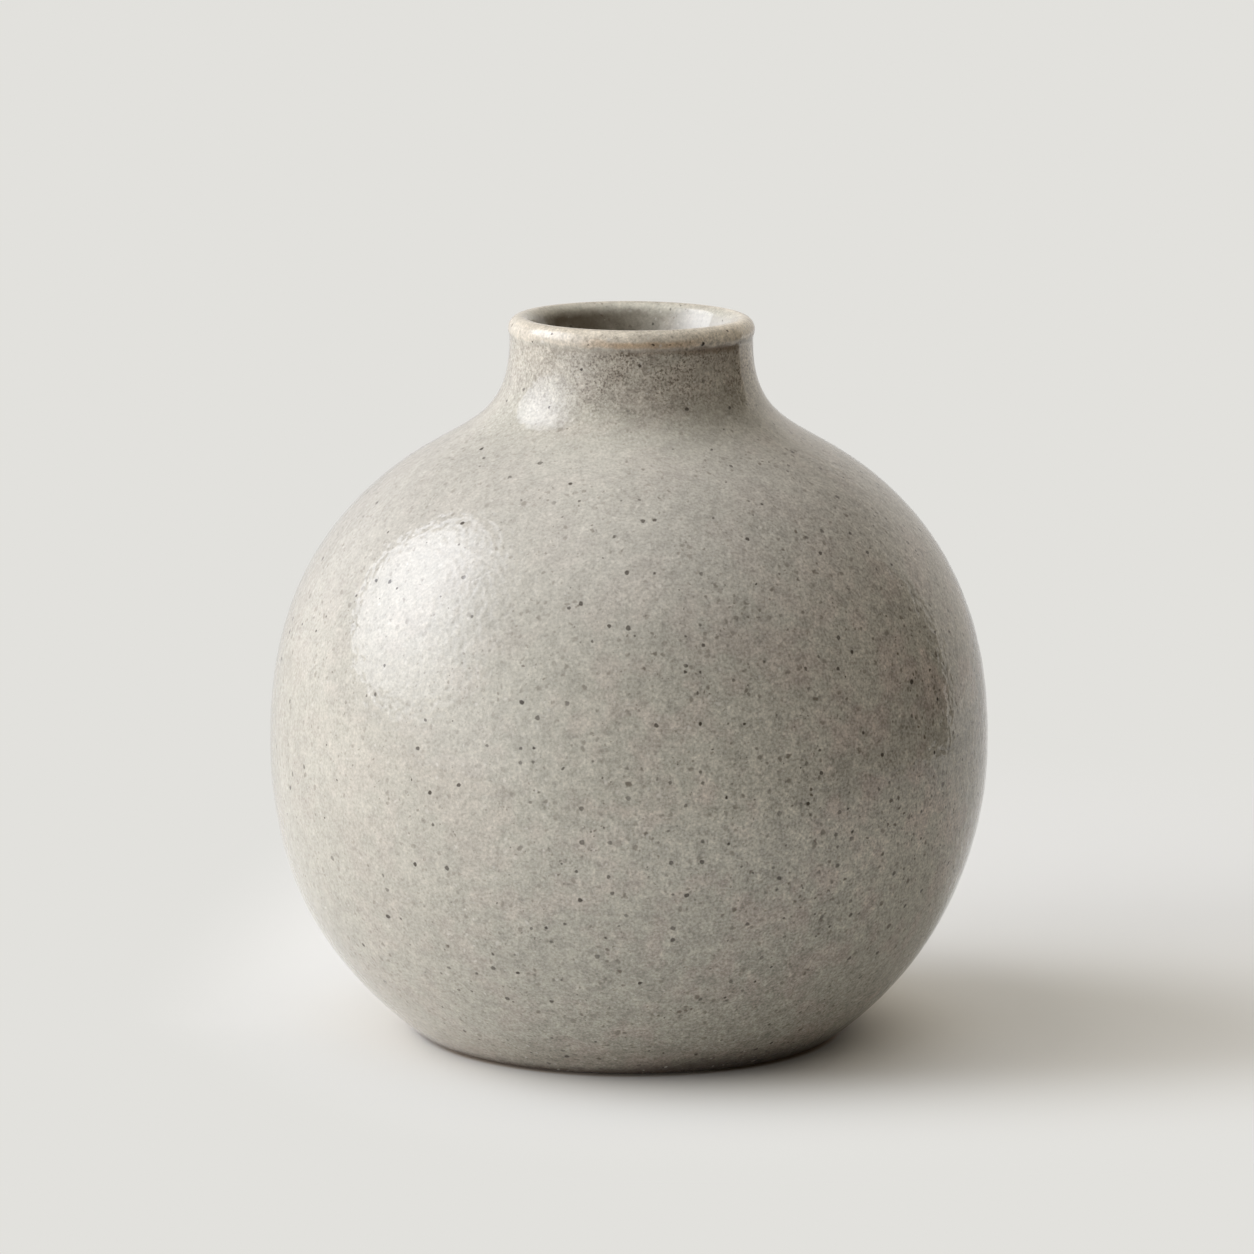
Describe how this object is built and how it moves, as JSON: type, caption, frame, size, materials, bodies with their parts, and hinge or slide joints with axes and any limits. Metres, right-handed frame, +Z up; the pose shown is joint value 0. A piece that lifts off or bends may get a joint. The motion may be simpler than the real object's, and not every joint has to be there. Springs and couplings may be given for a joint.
{
  "type": "bud vase",
  "caption": "Round stoneware bud vase with a globe body, a short neck, a rounded lip, speckled grey-beige glaze and a bare turned foot.",
  "frame": {"origin": "centre of the foot, on the plane that the vase rests on", "axes": "+Z up along the vase's axis, through the mouth; the vase is round, so +X and +Y are any two level directions"},
  "size_m": [0.11, 0.11, 0.1104],
  "materials": {
    "clay": "bare fired stoneware, matt",
    "glaze": "speckled grey-beige glaze, glossy",
    "lip": "thin glaze broken to tan over the clay, glossy",
    "liner": "grey-beige glaze, glossy"
  },
  "bodies": {
    "root": {"stoneware_body": "clay", "outer_glaze": "glaze", "lip_glaze": "lip", "liner_glaze": "liner"}
  },
  "joints": []
}
